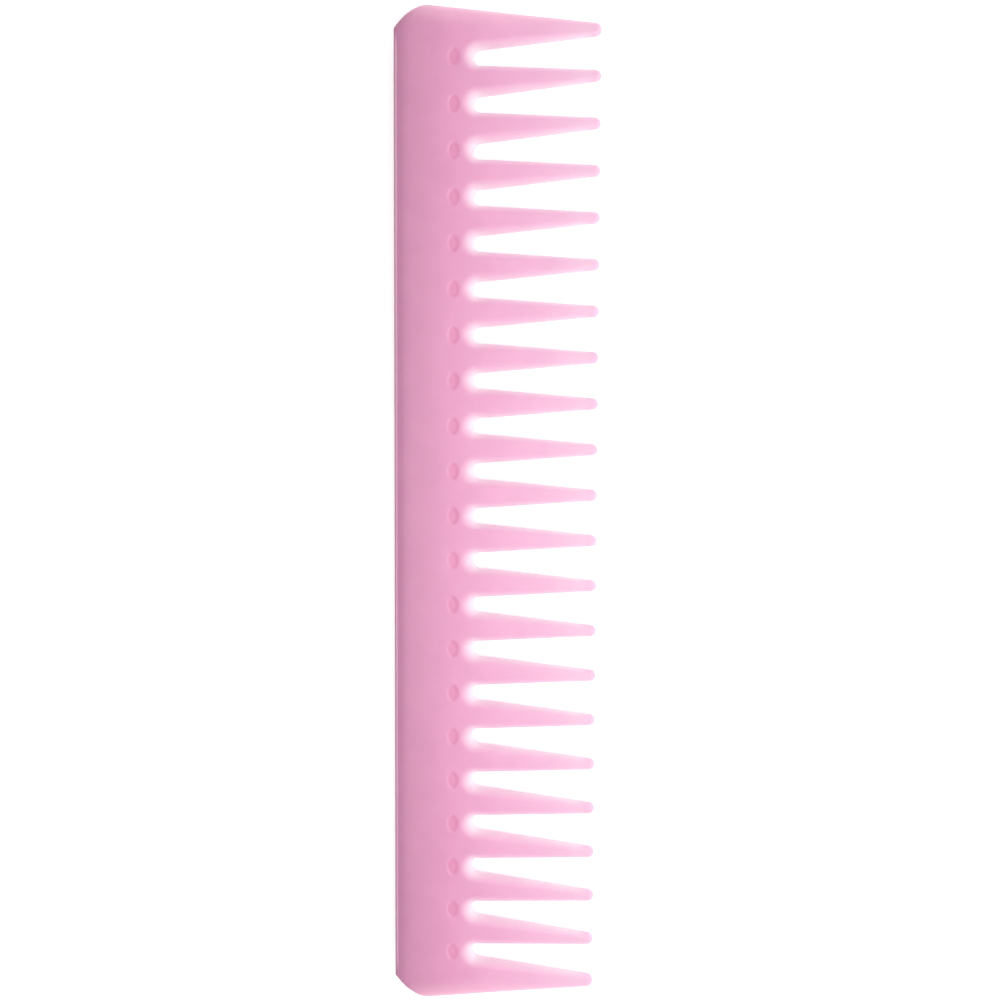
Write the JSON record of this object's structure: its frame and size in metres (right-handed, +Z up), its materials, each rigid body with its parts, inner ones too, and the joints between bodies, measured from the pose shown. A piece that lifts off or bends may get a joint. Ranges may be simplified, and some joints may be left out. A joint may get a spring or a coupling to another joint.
{
  "type": "wide tooth comb",
  "caption": "Flat one-piece plastic comb with a thick rounded spine, a row of wide tapered teeth and a small oval dimple ahead of each gap.",
  "frame": {"origin": "on the lower face, under the centre of the comb's bounding box", "axes": "+X from the back edge to the tooth tips, +Y along the comb, +Z up through its thickness"},
  "size_m": [0.0416, 0.2032, 0.005],
  "materials": {
    "comb_plastic": "translucent pink moulded plastic, satin gloss, paler where it is thin"
  },
  "bodies": {
    "root": {"spine": "comb_plastic", "web": "comb_plastic", "end_tooth_1": "comb_plastic", "tooth_01": "comb_plastic", "tooth_02": "comb_plastic", "tooth_03": "comb_plastic", "tooth_04": "comb_plastic", "tooth_05": "comb_plastic", "tooth_06": "comb_plastic", "tooth_07": "comb_plastic", "tooth_08": "comb_plastic", "tooth_09": "comb_plastic", "tooth_10": "comb_plastic", "tooth_11": "comb_plastic", "tooth_12": "comb_plastic", "tooth_13": "comb_plastic", "tooth_14": "comb_plastic", "tooth_15": "comb_plastic", "tooth_16": "comb_plastic", "tooth_17": "comb_plastic", "tooth_18": "comb_plastic", "tooth_19": "comb_plastic", "tooth_20": "comb_plastic", "end_tooth_2": "comb_plastic"}
  },
  "joints": []
}
